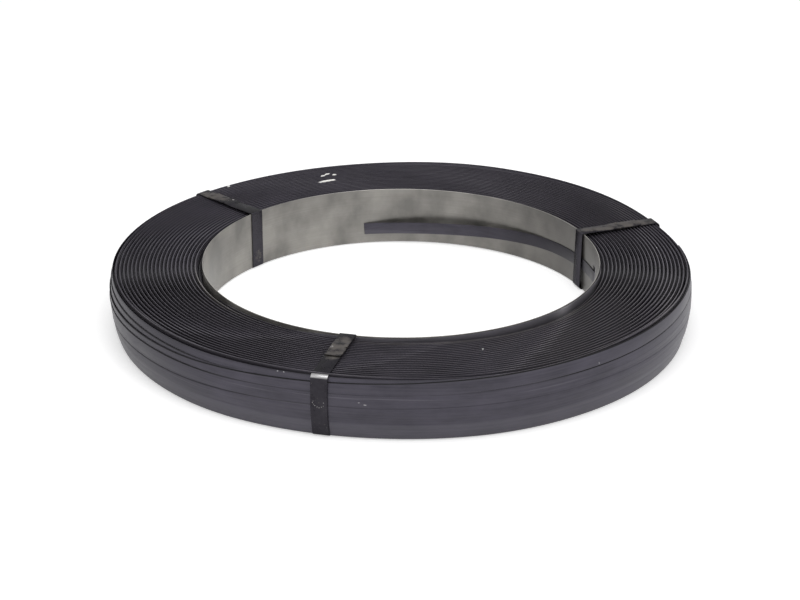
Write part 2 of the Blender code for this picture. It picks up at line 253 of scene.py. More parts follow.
def add_marks(tree, place, marks, wander):
    """A mask that is 1 inside any of the marks, with edges that wander a little."""
    wobble = add_node(tree, "ShaderNodeTexNoise", {"Vector": place, "Scale": 420.0, "Detail": 3.0})
    about_zero = add_node(
        tree, "ShaderNodeVectorMath", {0: wobble.outputs["Color"], 1: (0.5, 0.5, 0.5)},
        operation="SUBTRACT")
    small = add_node(
        tree, "ShaderNodeVectorMath", {0: about_zero, "Scale": wander}, operation="SCALE")
    moved = add_node(tree, "ShaderNodeVectorMath", {0: place, 1: small}, operation="ADD")
    nearest = 9.0
    for middle, heading, size in marks:
        local = add_node(
            tree, "ShaderNodeMapping",
            {"Vector": moved, "Location": middle, "Rotation": (0.0, 0.0, heading), "Scale": size},
            vector_type="TEXTURE")
        distance = add_node(tree, "ShaderNodeVectorMath", {0: local}, operation="LENGTH")
        nearest = add_node(
            tree, "ShaderNodeMath", {0: nearest, 1: distance.outputs["Value"]}, operation="MINIMUM")
    return add_node(
        tree, "ShaderNodeMapRange",
        {"Value": nearest, "From Min": 0.85, "From Max": 1.1, "To Min": 1.0, "To Max": 0.0})


# %% [markdown]
# Every finish here is made the same way: a tone that wanders between two colours, and coats of
# other colours over it, each where its mask says. A mask comes from a noise, from marks, from
# an attribute of the mesh or from the place itself. So one function builds a finish from its
# tables. A noise is slow along the strap and fast across it, or the same every way where it
# has no scale across; the scales are per metre.


# %% A finish from its tables
def new_finish(name, noises, steps, ramp, coats, ends, attributes=(), marks=(), bump=None):
    """A material, with its coats in the order that they lie in.

    The ramp is the noise that its tone goes by, and two places on it with their colours.
    """
    finish = bpy.data.materials.new(name)
    finish.use_nodes = True
    tree = finish.node_tree
    place = add_node(tree, "ShaderNodeTexCoord").outputs["Object"]
    parts = add_node(tree, "ShaderNodeSeparateXYZ", {0: place}).outputs
    flat = add_node(tree, "ShaderNodeCombineXYZ", {0: parts["X"], 1: parts["Y"]})
    radius = add_node(tree, "ShaderNodeVectorMath", {0: flat}, operation="LENGTH")
    known = {"x": parts["X"], "z": parts["Z"], "flat": flat, "radius": radius.outputs["Value"]}
    for label, along, across, detail, roughness in noises:
        vector = add_round_coordinates(tree, known, along, across) if across else place
        known[label] = add_node(tree, "ShaderNodeTexNoise", {
            "Vector": vector, "Scale": 1.0 if across else along, "Detail": detail,
            "Roughness": roughness})
    for label in attributes:
        known[label] = add_node(tree, "ShaderNodeAttribute", attribute_name=label).outputs["Fac"]
    for label, spots, wander in marks:
        known[label] = add_marks(tree, place, spots, wander)
    add_steps(tree, known, steps)
    texture, *stops = ramp
    tone = add_node(tree, "ShaderNodeValToRGB", {0: known[texture]})
    for element, (position, color) in zip(tone.color_ramp.elements, stops):
        element.position = position
        element.color = linear(color)
    for mask, color in coats:
        # A Mix node keeps its colour sockets after those for numbers and vectors, at 6 and 7
        tone = add_node(
            tree, "ShaderNodeMix", {0: known[mask], 6: tone, 7: linear(color)},
            data_type="RGBA").outputs[2]
    if bump:
        texture, strength, distance = bump
        known["bump"] = add_node(tree, "ShaderNodeBump", {
            "Height": known[texture], "Strength": strength, "Distance": distance})
    feed(tree.nodes["Principled BSDF"], {
        "Base Color": tone, **{key: known.get(value, value) for key, value in ends.items()}})
    print(name, "has", len(tree.nodes), "nodes")
    return finish


# %% Waxed black strap
waxed = new_finish(
    "waxed_black_oxide_strap_steel",
    noises=(
        ("streaks", 9.0, 900.0, 3.0, 0.6), ("wax_clouds", 22.0, 60.0, 4.0, 0.62),
        ("scratches", 5.0, 420.0, 1.0, 0.5), ("oxide_grain", 1400.0, None, 2.0, 0.5)),
    attributes=("across", "edge_shade", "wear"),
    marks=(("scuff", FACE_SCUFFS, 0.0010),),
    steps=(
        "streak_share = RANGE streaks 0.35 0.75 0.0 0.35",
        "scratch_share = RANGE scratches 0.73 0.80 0.0 0.16",
        # Oil at the upper edge of a turn, and painted shade for the shadow in the gap between
        # turns, darken it
        "near_edge = RANGE across 0.80 0.90",
        "dark_edge = near_edge * edge_shade",
        # Painted shade: the inner end darkens inside the bore towards its slot, and the outer face
        # towards the left
        f"in_bore = LESS_THAN radius {BORE_RADIUS}",
        "to_right = RANGE x 0.05 0.17 0.0 0.75",
        "dim_inside = in_bore * to_right",
        "to_left = RANGE x -0.17 -0.28 0.0 0.58",
        "dimmed = MAXIMUM dim_inside to_left",
        # The faces are lighter below 15 mm, easing out by 17.5 mm
        "floor_rubbed = RANGE z 0.0150 0.0175 0.22 0.0",
        "satin = RANGE wax_clouds 0.25 0.75 0.36 0.50",
        "edge_dullness = dark_edge * 0.45",
        "roughness = satin + edge_dullness",
        "metal = RANGE dark_edge 0.0 1.0 0.55 0.0",
    ),
    ramp=("wax_clouds", (0.30, "#37353e"), (0.72, "#4b4853")),
    coats=(
        # The wear coat on the first turn is partly painted light and a painted glint
        ("streak_share", "#5b585f"), ("scratch_share", "#86838a"), ("dark_edge", "#0d0c0f"),
        ("wear", "#bdbabf"), ("dimmed", "#1b191e"), ("floor_rubbed", "#75737a"),
        ("scuff", "#a5a3a6")),
    bump=("oxide_grain", 0.10, 0.0002),
    ends={"Metallic": "metal", "Roughness": "roughness", "Normal": "bump"},
)

# %% [markdown]
# ## Finish: the sheared edges of the strap
#
# The ends of the coil show the strap's edges, not its faces. They were slit before the oxide bath,
# so they are rougher, and wax and dust dull them to a purple grey. The grooves and parts of the top
# carry painted shade, the crests next to the core are worn, and many crests also carry painted
# light. Paint from a marking brush lies on them at the back.

# %% Dull strap edges
dulled = new_finish(
    "dull_waxed_strap_edges",
    noises=(("streaks", 14.0, 700.0, 3.0, 0.5), ("dust", 24.0, None, 5.0, 0.65)),
    attributes=("film", "sunk", "groove_shade", "wear"),
    marks=(("paint", PAINT_MARKS, 0.0008),),
    steps=(
        "streak_share = RANGE streaks 0.40 0.75 0.0 0.30",
        # Painted shade in the grooves, by depth below the crests about them
        "in_groove = RANGE sunk 0.0002 0.0011",
        "oily = in_groove * groove_shade",
        "not_metal = MAXIMUM paint oily",
        "metal = RANGE not_metal 0.0 1.0 0.35 0.0",
        "roughness = RANGE dust 0.25 0.75 0.50 0.64",
    ),
    ramp=("dust", (0.30, "#46434c"), (0.72, "#56525d")),
    coats=(
        # The wear coat on the crests is partly painted light
        ("streak_share", "#6a666c"), ("film", "#231f28"), ("oily", "#110c16"),
        ("wear", "#a39e99"), ("paint", "#fbfaf7")),
    ends={"Metallic": "metal", "Roughness": "roughness"},
)

# %% [markdown]
# ## Finish: bare cold-rolled sheet
#
# The core ring is cut from plain cold-rolled sheet. Rolling oil dries on it in cloudy,
# greenish-grey patches, and the mill leaves fine lines along the sheet. At the right the wall
# carries a painted shade, but not the bare top edge.

# %% Cold-rolled core sheet
sheet = new_finish(
    "cold_rolled_core_sheet",
    noises=(("oil_clouds", 18.0, 24.0, 4.0, 0.5), ("mill_lines", 6.0, 1400.0, 2.0, 0.5)),
    steps=(
        "line_share = RANGE mill_lines 0.3 0.7 0.0 0.22",
        "to_right = RANGE x 0.06 0.17 0.0 0.62",
        f"below_edge = RANGE z {CORE_TOP - 0.0007} {CORE_TOP - 0.0003} 1.0 0.0",
        # Painted shade on the wall towards the right, below the top edge
        "film = to_right * below_edge",
        "roughness = RANGE oil_clouds 0.3 0.7 0.30 0.48",
    ),
    ramp=("oil_clouds", (0.34, "#757370"), (0.66, "#a19e99")),
    coats=(("line_share", "#6f6d64"), ("film", "#403e3d")),
    bump=("mill_lines", 0.15, 0.0001),
    ends={"Metallic": 0.65, "Roughness": "roughness", "Normal": "bump"},
)

# %% [markdown]
# ## Finish: scuffed binding strap
#
# The three bindings are the same kind of steel, a little wider, in a browner black. They are pulled
# tight by a tool and knocked in handling, so the oxide is rubbed through in specks. The bend over
# the rim carries a painted highlight, and the runs down the bore are painted lighter. The flat tops
# are painted darker, a painted shade that keeps them from going pale where they are seen at a low
# angle, and the tint of the gloss holds their reflection down too.

# %% Scuffed binding strap
bound = new_finish(
    "scuffed_black_binding_steel",
    noises=(("rub_clouds", 90.0, None, 5.0, 0.6), ("rub_specks", 900.0, None, 2.0, 0.5)),
    marks=(("gripped", BINDING_WEAR, 0.0060), ("scuff", BINDING_SCUFFS, 0.0016)),
    steps=(
        # Painted shade: the flat tops are darkened so they don't go pale
        "on_top = RANGE z 0.0612 0.0622 0.0 0.35",
        # Painted light: the runs down the bore are lightened
        "bore_side = RANGE radius 0.2035 0.2028 0.0 0.3",
        "worn_patch = RANGE rub_clouds 0.36 0.56 0.15 1.0",
        "worn = gripped * worn_patch",
        # Painted highlight on the bend over the rim
        "past_rim = RANGE radius 0.2925 0.2945",
        "above_face = RANGE z 0.0599 0.0612",
        "on_bend = past_rim * above_face",
        "speck_share = RANGE rub_specks 0.70 0.76 0.0 0.5",
        "roughness = RANGE rub_clouds 0.3 0.7 0.24 0.36",
    ),
    ramp=("rub_clouds", (0.32, "#2c2a2f"), (0.70, "#3a383d")),
    coats=(
        ("on_top", "#100e12"), ("bore_side", "#57555b"), ("worn", "#65615d"),
        ("on_bend", "#a2a1a2"), ("speck_share", "#8d8880"), ("scuff", "#a9a6a4")),
    ends={"Metallic": 0.7, "Specular Tint": linear("#8a8a90"), "Roughness": "roughness"},
)

# %% [markdown]
# ## The ends of the winding
#
# Seen from above, the coil is one long spiral of strap edges. The winding machine carries the
# strap up and down as the coil turns, so each turn stands a little higher or lower than the
# one before it, and every eight turns make one ridge and one groove. That is a rule, so
# Geometry Nodes can build it: a flat grid is bent into a spiral staircase, with two rows of
# points for each turn, the inner and the outer edge of the strap. Each turn ends exactly
# where the next begins, so the two ends of the grid are merged into one long strip.
#
# The same tree makes the underside, turned over. More rows carry the outer face and the bore
# down to the middle of the coil, so that each half is a closed solid.


# %% How a tree starts and ends
def new_tree(name, inputs, paths=()):
    """A Geometry Nodes tree with named inputs, and the sockets that give them."""
    tree = bpy.data.node_groups.new(name, "GeometryNodeTree")
    tree.interface.new_socket("Geometry", in_out="OUTPUT", socket_type="NodeSocketGeometry")
    for label in paths:
        tree.interface.new_socket(label, in_out="INPUT", socket_type="NodeSocketGeometry")
    for label, value in inputs.items():
        kind = "NodeSocketInt" if isinstance(value, int) else "NodeSocketFloat"
        socket = tree.interface.new_socket(label, in_out="INPUT", socket_type=kind)
        socket.default_value = value
    tree.interface.new_socket("Material", in_out="INPUT", socket_type="NodeSocketMaterial")
    return tree, add_node(tree, "NodeGroupInput").outputs


def end_tree(tree, geometry, material):
    """Makes the geometry real, gives it the material and ends the tree with it."""
    real = add_node(tree, "GeometryNodeRealizeInstances", {"Geometry": geometry})
    finished = add_node(
        tree, "GeometryNodeSetMaterial", {"Geometry": real, "Material": material})
    add_node(tree, "NodeGroupOutput", {0: finished})
    print(tree.name, "has", len(tree.nodes), "nodes")


# %% Inputs of the winding tree
wind_inputs = {
    "Columns": 264, "Turns": TURNS, "Side Rows": 6, "Up": 1.0,
    "Bore Radius": WINDING_BORE, "Rim Radius": WINDING_RIM,
    "Barrel Radius": BARREL_RADIUS - UNDER_LAST_TURNS, "Barrel Bulge": BARREL_BULGE,
    "Barrel Middle": BARREL_MIDDLE, "Barrel Reach": RIDGE_TOP - BARREL_MIDDLE,
    "Middle Height": MIDDLE_HEIGHT, "Crest Rise": RIDGE_TOP - MIDDLE_HEIGHT,
    "Inner Drop": 0.0016, "Step": 0.0036, "Half Traverse": 4.02, "Dwell": 0.5,
    "Phase": 1.60, "Swing": -1.54, "Dip": 0.008, "Dip Angle": math.radians(-44.0),
    "Dip Width": math.radians(30.0), "Dip Reach": 0.007, "Uneven": 0.00012,
    "Start Angle": math.radians(21.4), "Seed": 3.0,
}
wind_tree, given = new_tree("wind_one_end", wind_inputs)
print("the winding tree has", len(wind_inputs) + 1, "inputs")

# %% Where each point of the grid goes
known = {name.replace(" ", "_"): given[name] for name in wind_inputs}
known["index"] = add_node(wind_tree, "GeometryNodeInputIndex").outputs[0]
# Each line becomes one Math node, and may use what the lines above it give
point_steps = f"""\
stair_rows = Turns * 2.0
more_rows = Side_Rows + 2.0
rows = stair_rows + more_rows
index_middle = index + 0.5
column_part = index_middle / rows
column = FLOOR column_part
columns_before = column * rows
row = index - columns_before
share = column / Columns
last_stair = stair_rows - 1.0
raw_stair = row - 1.0
some_stair = MAXIMUM raw_stair 0.0
stair = MINIMUM some_stair last_stair
half_stair = stair * 0.5 + 0.01
turn = FLOOR half_stair
outer_edge = turn * -2.0 + stair
wound = turn + share
depth = Rim_Radius - Bore_Radius
thickness = depth / Turns
layers = wound + outer_edge
stair_radius = layers * thickness + Bore_Radius
angle = share * {-2.0 * math.pi} + Start_Angle
cosine = COSINE angle
sine = SINE angle
swing = cosine * Swing + Phase
traverse = wound + swing
turns_off_crest = PINGPONG traverse Half_Traverse
past_dwell = turns_off_crest - Dwell
falling_turns = MAXIMUM past_dwell 0.0
fall = falling_turns * Step
from_bore = stair_radius - Bore_Radius
outward = from_bore / depth
inward = 1.0 - outward
inward_squared = inward * inward
drop = inward_squared * Inner_Drop
from_dip = angle - Dip_Angle
dip_part = from_dip / Dip_Width
dip_squared = dip_part * dip_part
bore_part = from_bore / Dip_Reach
dip_distance = dip_squared + bore_part
minus_distance = dip_distance * -1.0
dip_share = EXPONENT minus_distance
dip = dip_share * Dip
unevenness_way = wound * 0.35
""".splitlines()
add_steps(wind_tree, known, point_steps)
uneven_way = add_node(
    wind_tree, "ShaderNodeCombineXYZ",
    {0: known["cosine"], 1: known["sine"], 2: known["unevenness_way"]})
known["uneven_noise"] = add_node(
    wind_tree, "ShaderNodeTexNoise",
    {"Vector": uneven_way, "W": known["Seed"], "Scale": 1.0, "Detail": 2.0},
    noise_dimensions="4D")
print(len(point_steps), "Math nodes place a point on the staircase")

# %% Heights, the outer face and the bore
height_steps = """\
noise_about_zero = uneven_noise - 0.5
noise_both_ways = noise_about_zero * 4.0
rise_1 = noise_both_ways * Uneven + Crest_Rise
rise_2 = rise_1 - fall
rise_3 = rise_2 - drop
rise = rise_3 - dip
stair_height = rise * Up + Middle_Height
raw_side = row - stair_rows
side_part = raw_side / Side_Rows
side_low = MAXIMUM side_part 0.0
side_share = MINIMUM side_low 1.0
way_to_middle = Middle_Height - stair_height
side_height = way_to_middle * side_share + stair_height
off_middle = side_height - Barrel_Middle
barrel_part = off_middle / Barrel_Reach
barrel_squared = barrel_part * barrel_part
bulge_lost = barrel_squared * Barrel_Bulge
barrel = Barrel_Radius - bulge_lost
side_radius = share * thickness + barrel
is_side = GREATER_THAN raw_side 0.5
is_bore_low = LESS_THAN row 0.5
last_row = rows - 1.5
is_bore_high = GREATER_THAN row last_row
is_bore = is_bore_low + is_bore_high
bore_radius = share * thickness + Bore_Radius
radius_step = side_radius - stair_radius
radius_1 = radius_step * is_side + stair_radius
bore_step = bore_radius - radius_1
radius = bore_step * is_bore + radius_1
middle_step = Middle_Height - side_height
height = middle_step * is_bore + side_height
x = radius * cosine
y = radius * sine
grid_columns = Columns + 1.0
""".splitlines()
add_steps(wind_tree, known, height_steps)
grid = add_node(
    wind_tree, "GeometryNodeMeshGrid",
    {"Vertices X": known["grid_columns"], "Vertices Y": known["rows"]})
place = add_node(
    wind_tree, "ShaderNodeCombineXYZ", {0: known["x"], 1: known["y"], 2: known["height"]})
bent = add_node(wind_tree, "GeometryNodeSetPosition", {"Geometry": grid, "Position": place})
merged = add_node(
    wind_tree, "GeometryNodeMergeByDistance", {"Geometry": bent, "Distance": 0.000005})
end_tree(wind_tree, merged, given["Material"])

# %% [markdown]
# ## From a tree to a plain mesh
#
# A modifier runs the tree, and the evaluated object gives a plain mesh. The ends of the
# spiral leave two narrow slits, the cut ends of the strap, which are filled here, and then
# all faces are turned outwards.


# %% Run a tree and keep its mesh
def plain_mesh(thing, *helpers):
    """The mesh of an object once its modifiers have run. The object and its helpers go."""
    bpy.context.view_layer.update()
    depsgraph = bpy.context.evaluated_depsgraph_get()
    mesh = bpy.data.meshes.new_from_object(thing.evaluated_get(depsgraph))
    for spent in (thing, *helpers):
        bpy.data.objects.remove(spent, do_unlink=True)
    return mesh


def made_by(tree, name, values, source=None):
    """An object with the mesh that a Geometry Nodes tree makes from these input values."""
    maker = linked(name, source or bpy.data.meshes.new(name))
    modifier = maker.modifiers.new("tree", "NODES")
    modifier.node_group = tree
    for item in tree.interface.items_tree:
        if item.in_out == "INPUT" and item.name in values:
            modifier[item.identifier] = values[item.name]
    return close_up(plain_mesh(maker), name)


def close_up(mesh, name):
    """Fills open ends, turns the faces outwards and smooths all but the sharp edges."""
    shape = bmesh.new()
    shape.from_mesh(mesh)
    bmesh.ops.dissolve_degenerate(shape, dist=0.000002, edges=shape.edges)
    open_edges = [edge for edge in shape.edges if edge.is_boundary]
    bmesh.ops.holes_fill(shape, edges=open_edges, sides=0)
    bmesh.ops.triangulate(shape, faces=[face for face in shape.faces if len(face.verts) > 4])
    bmesh.ops.recalc_face_normals(shape, faces=shape.faces)
    shape.to_mesh(mesh)
    left_open = sum(edge.is_boundary for edge in shape.edges)
    shape.free()
    mesh.shade_smooth()
    mesh.set_sharp_from_angle(angle=math.radians(35.0))
    mesh.name = name
    triangles = sum(len(polygon.vertices) - 2 for polygon in mesh.polygons)
    print(name, "has", triangles, "triangles and", left_open, "open edges")
    return linked(name, mesh)


# %% The two halves of the winding
winding_top = made_by(wind_tree, "winding_top", {"Material": dulled})
low_rim = barrel_radius(CORE_LOW) - UNDER_LAST_TURNS
winding_bottom = made_by(
    wind_tree, "winding_bottom",
    {"Columns": 200, "Up": -1.0, "Rim Radius": low_rim, "Dip": 0.0, "Seed": 8.0,
     "Material": dulled})


# %% [markdown]
# ## A strap along a path
#
# The last turns on the outer face, the inner end and the bindings are all the same thing: a
# flat strip that follows a line, with its face turned a given way. One tree makes them all.
# It takes a line of points that carry the way the strap faces there, and sweeps a rounded
# rectangle along it. An attribute goes with the mesh for the finishes to read: how far across
# the strap a point is, from -1 at one edge to 1 at the other.

# %% The strap tree
strap_tree, given = new_tree(
    "strap_along_a_path",
    {"Width": STRAP_WIDTH, "Thickness": STRAP_THICKNESS, "Edge Round": 0.00012}, paths=("Path",))
line = add_node(strap_tree, "GeometryNodeMeshToCurve", {"Mesh": given["Path"]})
facing = add_node(
    strap_tree, "GeometryNodeInputNamedAttribute", {"Name": "facing"},
    data_type="FLOAT_VECTOR")
turned_line = add_node(
    strap_tree, "GeometryNodeSetCurveNormal", {"Curve": line, "Normal": facing}, mode="FREE")
section = add_node(
    strap_tree, "GeometryNodeCurvePrimitiveQuadrilateral",
    {"Width": given["Thickness"], "Height": given["Width"]})
rounded_section = add_node(
    strap_tree, "GeometryNodeFilletCurve",
    {"Curve": section, "Count": 2, "Radius": given["Edge Round"]}, mode="POLY")
section_place = add_node(strap_tree, "GeometryNodeInputPosition")
section_parts = add_node(strap_tree, "ShaderNodeSeparateXYZ", {0: section_place})
known = {"width": given["Width"], "y": section_parts.outputs["Y"]}
add_steps(strap_tree, known, ("half_width = width * 0.5", "across = y / half_width"))
marked_section = add_node(
    strap_tree, "GeometryNodeStoreNamedAttribute",
    {"Geometry": rounded_section, "Name": "across", "Value": known["across"]})
swept = add_node(
    strap_tree, "GeometryNodeCurveToMesh",
    {"Curve": turned_line, "Profile Curve": marked_section, "Fill Caps": True})
end_tree(strap_tree, swept, given["Material"])


# %% A path for the strap tree
def path_mesh(name, places, facings, **looks):
    """A line of points that carry the way that the strap faces, and values for its looks."""
    mesh = bpy.data.meshes.new(name)
    count = len(places)
    mesh.from_pydata(
        [tuple(place) for place in places], [(i, i + 1) for i in range(count - 1)], [])
    attribute = mesh.attributes.new("facing", "FLOAT_VECTOR", "POINT")
    attribute.data.foreach_set("vector", np.asarray(facings, dtype=float).ravel())
    for look, values in looks.items():
        mesh.attributes.new(look, "FLOAT", "POINT").data.foreach_set("value", values)
    return mesh


def upright_strap(name, turn, radius, tops, lean=0.0, **looks):
    """A strap that stands on edge and goes round: its angles, radii and upper edges."""
    lean = np.broadcast_to(lean, turn.shape)
    places = np.stack([
        radius * np.cos(turn), radius * np.sin(turn), tops - STRAP_WIDTH / 2.0 * np.cos(lean)], 1)
    facings = np.stack([
        np.cos(turn) * np.cos(lean), np.sin(turn) * np.cos(lean), -np.sin(lean)], 1)
    path = path_mesh(name, places, facings, **looks)
    return made_by(strap_tree, name, {"Material": waxed}, path)


# %% [markdown]
# ## The last turns on the outer face
#
# The photograph shows how the last turns lie on the rim: each is a level band for part of
# the way round and slopes to a new height for the rest. Their upper edges were read from the
# picture at several angles, as heights above the core's lower edge in millimetres, and a
# softened line goes through them. Angles fall as the strap winds clockwise and outwards.

# %% Readings of the outer turns
# For each turn: how far its face lies off the barrel, how far its upper edge springs off at the
# left and at the front, all in millimetres, how strong the painted shade along its upper edge is at
# angles, and that edge's heights by angle
OUTER_TURNS = (
    ("rim turn", -0.7, (0.5, 0.5), ((345, 0.3), (195, 0.3)), (
        (368, 60.0), (262, 60.8), (225, 60.6), (195, 61.0), (130, 59.7), (105, 60.5), (75, 62.1),
        (45, 61.0), (25, 59.5), (8, 58.0))),
    ("second turn", -0.6, (0.8, 0.0), (
        (345, 0.0), (272, 0.6), (262, 1.4), (249, 1.2), (243, 0.0), (238, 0.3), (225, 1.0),
        (195, 1.0)), (
        (368, 58.0), (330, 53.0), (278, 53.0), (271, 57.0), (264, 59.6), (255, 60.8), (248, 61.4),
        (243, 57.0), (238, 52.8), (230, 53.2), (215, 53.7), (195, 54.2), (8, 57.0))),
    ("third turn", 0.0, (0.8, 0.1), (
        (345, 1.2), (280, 1.6), (268, 1.0), (258, 1.2), (240, 1.4), (195, 1.0)), (
        (368, 57.0), (345, 60.0), (320, 61.6), (301, 61.6), (294, 61.2), (288, 60.6), (282, 60.0),
        (275, 59.1), (270, 57.9), (264, 57.1), (250, 54.8), (242, 53.3), (236, 52.4), (228, 50.3),
        (215, 48.5), (203, 46.9), (195, 45.5), (100, 43.5), (8, 47.5))),
    ("fourth turn", 0.02, (0.8, 0.0), (
        (345, 2.4), (318, 2.2), (305, 1.4), (296, 0.5), (275, 0.2), (240, 0.5), (228, 1.3),
        (195, 1.4)), (
        (368, 47.5), (345, 48.6), (325, 49.0), (297, 48.6), (285, 47.3), (270, 46.6), (250, 45.2),
        (238, 43.6), (228, 43.1), (215, 42.0), (207, 40.6), (195, 38.5), (130, 33.0), (60, 28.5),
        (8, 30.0))),
    ("fifth turn", 0.04, (0.0, 0.0), (
        (345, 0.0), (275, 0.1), (258, 0.4), (232, 0.7), (195, 0.8)), (
        (368, 27.0), (342, 29.0), (325, 32.0), (310, 33.4), (290, 33.8), (270, 33.6), (253, 33.0),
        (246, 31.8), (232, 29.2), (222, 27.2), (213, 25.9), (195, 22.4), (110, 20.0))),
)
LOWER_TURNS = (
    ("bottom turn", -0.4, (0.0, 0.0), ((345, 0.0), (195, 0.0)), (
        (368, 12.8), (290, 12.6), (255, 12.9), (233, 12.6), (8, 13.5))),
    ("turn above it", -0.1, (0.0, 0.0), ((345, 0.15), (195, 0.2)), (
        (368, 24.5), (300, 25.2), (270, 24.4), (240, 19.5), (195, 18.0), (8, 24.0))),
    ("turn behind", -0.06, (0.0, 0.0), ((345, 0.0), (195, 0.0)), (
        (368, 40.0), (270, 40.5), (235, 37.0), (195, 35.5), (8, 38.0))),
)
READ_FROM = 345
SPRING_CHANGE = (245, 225)
READ_TO = 195
PATH_STEP = 2.0
SOFTEN = 5


# %% The outer turns
def wound_turns(name, turns):
    """Several turns, one after the other, as one strap."""
    edge_knots = []
    proud_knots = []
    shade_knots = []
    for number, (_, proud, (left_spring, front_spring), shades, readings) in enumerate(turns):
        edge_knots += [(angle - 360.0 * number, top) for angle, top in readings]
        springs = zip(
            (READ_FROM, *SPRING_CHANGE, READ_TO), (front_spring,) * 2 + (left_spring,) * 2)
        proud_knots += [(angle - 360.0 * number, proud, spring) for angle, spring in springs]
        shade_knots += [(angle - 360.0 * number, shade) for angle, shade in shades]
    edge_angles, edge_tops = np.array(edge_knots)[::-1].T
    proud_angles, prouds, springs = np.array(proud_knots)[::-1].T
    shade_angles, shades = np.array(shade_knots)[::-1].T
    angles = np.arange(edge_angles[-1], edge_angles[0], -PATH_STEP)
    tops = np.interp(angles, edge_angles, edge_tops)
    padded = np.pad(tops, SOFTEN // 2, mode="edge")
    tops = np.convolve(padded, np.ones(SOFTEN) / SOFTEN, mode="valid") / 1000.0 + CORE_LOW
    off = np.interp(angles, proud_angles, prouds) / 1000.0
    upper = barrel_radius(tops) + off + np.interp(angles, proud_angles, springs) / 1000.0
    lower = barrel_radius(tops - STRAP_WIDTH) + off
    lean = np.arctan2(upper - lower, STRAP_WIDTH)
    radius = (upper + lower) / 2.0 - STRAP_THICKNESS / 2.0
    print(name, "follows", len(angles), "points over", len(turns), "turns")
    return upright_strap(
        name, np.radians(angles), radius, tops, lean,
        edge_shade=np.interp(angles, shade_angles, shades))


outer_turns = wound_turns("outer_turns", OUTER_TURNS)
lower_turns = wound_turns("lower_turns", LOWER_TURNS)

# %% [markdown]
# ## The first turn round the core
#
# The first turn lies on the core. At the front the winding beside it runs lower, so there the turn
# stands clear, and its face shows as a band inside the ridges. The band is painted lighter, partly
# as wear and partly as painted light for a face that would catch the lamps, more so towards the
# right, and one spot of it carries a painted glint.

# %% First turn
FIRST_TURN_TOPS = (
    (215, 52.0), (232, 57.0), (248, 61.0), (262, 62.2), (340, 62.4), (352, 59.0), (366, 50.0))
FIRST_TURN_STEP = 1.0
PAINTED_GLINT_ANGLE = 320.7
PAINTED_GLINT_WIDTH = 3.5
LIGHTER_FROM = 285.0
LIGHTER_EASE = 40.0
turn_angles, turn_tops = np.array(FIRST_TURN_TOPS).T
angles = np.arange(turn_angles[-1], turn_angles[0], -FIRST_TURN_STEP)
painted_glint = np.exp(-((angles - PAINTED_GLINT_ANGLE) / PAINTED_GLINT_WIDTH) ** 2)
lighter_right = np.clip((angles - LIGHTER_FROM) / LIGHTER_EASE, 0.0, 1.0)
# Wear and painted light from 0 to 1: lighter all along, more towards the right, and a painted glint
wear = 0.16 + 0.10 * lighter_right + 0.55 * painted_glint
first_turn = upright_strap(
    "first_turn", np.radians(angles), WINDING_BORE + STRAP_THICKNESS,
    np.interp(angles, turn_angles, turn_tops) / 1000.0, wear=wear)


# %% [markdown]
# ## The inner end
#
# The strap starts with a tongue that comes through a slot in the core and lies along the
# inside of it for a quarter of a turn. It springs a little way off the wall and comes back.

# %% Inner end
TAIL_START = math.radians(2.5)
TAIL_THROUGH = math.radians(4.5)
TAIL_SLOT = math.radians(7.4)
TAIL_LIFT = math.radians(37.5)
TAIL_END = math.radians(101.7)
TAIL_TOP = CORE_LOW + 0.0356
TAIL_FALL = 0.0124
TAIL_BOW = 0.0106
TAIL_STEPS = 96
TAIL_BEHIND_CORE = WINDING_BORE + 0.0006
TAIL_ON_WALL = BORE_RADIUS - 0.0003 - STRAP_THICKNESS / 2.0

turn = np.linspace(TAIL_START, TAIL_END, TAIL_STEPS + 1)
past_slot = np.maximum((turn - TAIL_SLOT) / (TAIL_END - TAIL_SLOT), 0.0)
past_lift = np.maximum((turn - TAIL_LIFT) / (TAIL_END - TAIL_LIFT), 0.0)
# It takes as many degrees again to pass from behind the core to the bore's wall
through = np.clip((turn - TAIL_THROUGH) / TAIL_THROUGH, 0.0, 1.0)
bow = TAIL_BOW * np.sin(math.pi * past_lift ** 1.35)
radius = TAIL_BEHIND_CORE + (TAIL_ON_WALL - TAIL_BEHIND_CORE) * through - bow
inner_end = upright_strap("inner_end", turn, radius, TAIL_TOP - TAIL_FALL * past_slot ** 1.4)

# %% [markdown]
# ## The core ring
#
# The ring is a strip of sheet bent into a hoop. It is turned here from a small section with
# a rounded edge at the top and the bottom, and a slot is cut through it for the inner end.


# %% From a shape to an object
def placed(shape, name, azimuth):
    """The shape turned to its azimuth, as an object."""
    bmesh.ops.rotate(
        shape, cent=(0, 0, 0), matrix=Matrix.Rotation(azimuth, 3, "Z"), verts=shape.verts)
    bmesh.ops.recalc_face_normals(shape, faces=shape.faces)
    mesh = bpy.data.meshes.new(name)
    shape.to_mesh(mesh)
    shape.free()
    return linked(name, mesh)


def cut_away(piece, cutter, name):
    """The piece with the cutter taken out of it, as a new plain mesh."""
    cut = piece.modifiers.new("cut", "BOOLEAN")
    cut.operation = "DIFFERENCE"
    cut.object = cutter
    cut.solver = "EXACT"
    return close_up(plain_mesh(piece, cutter), name)


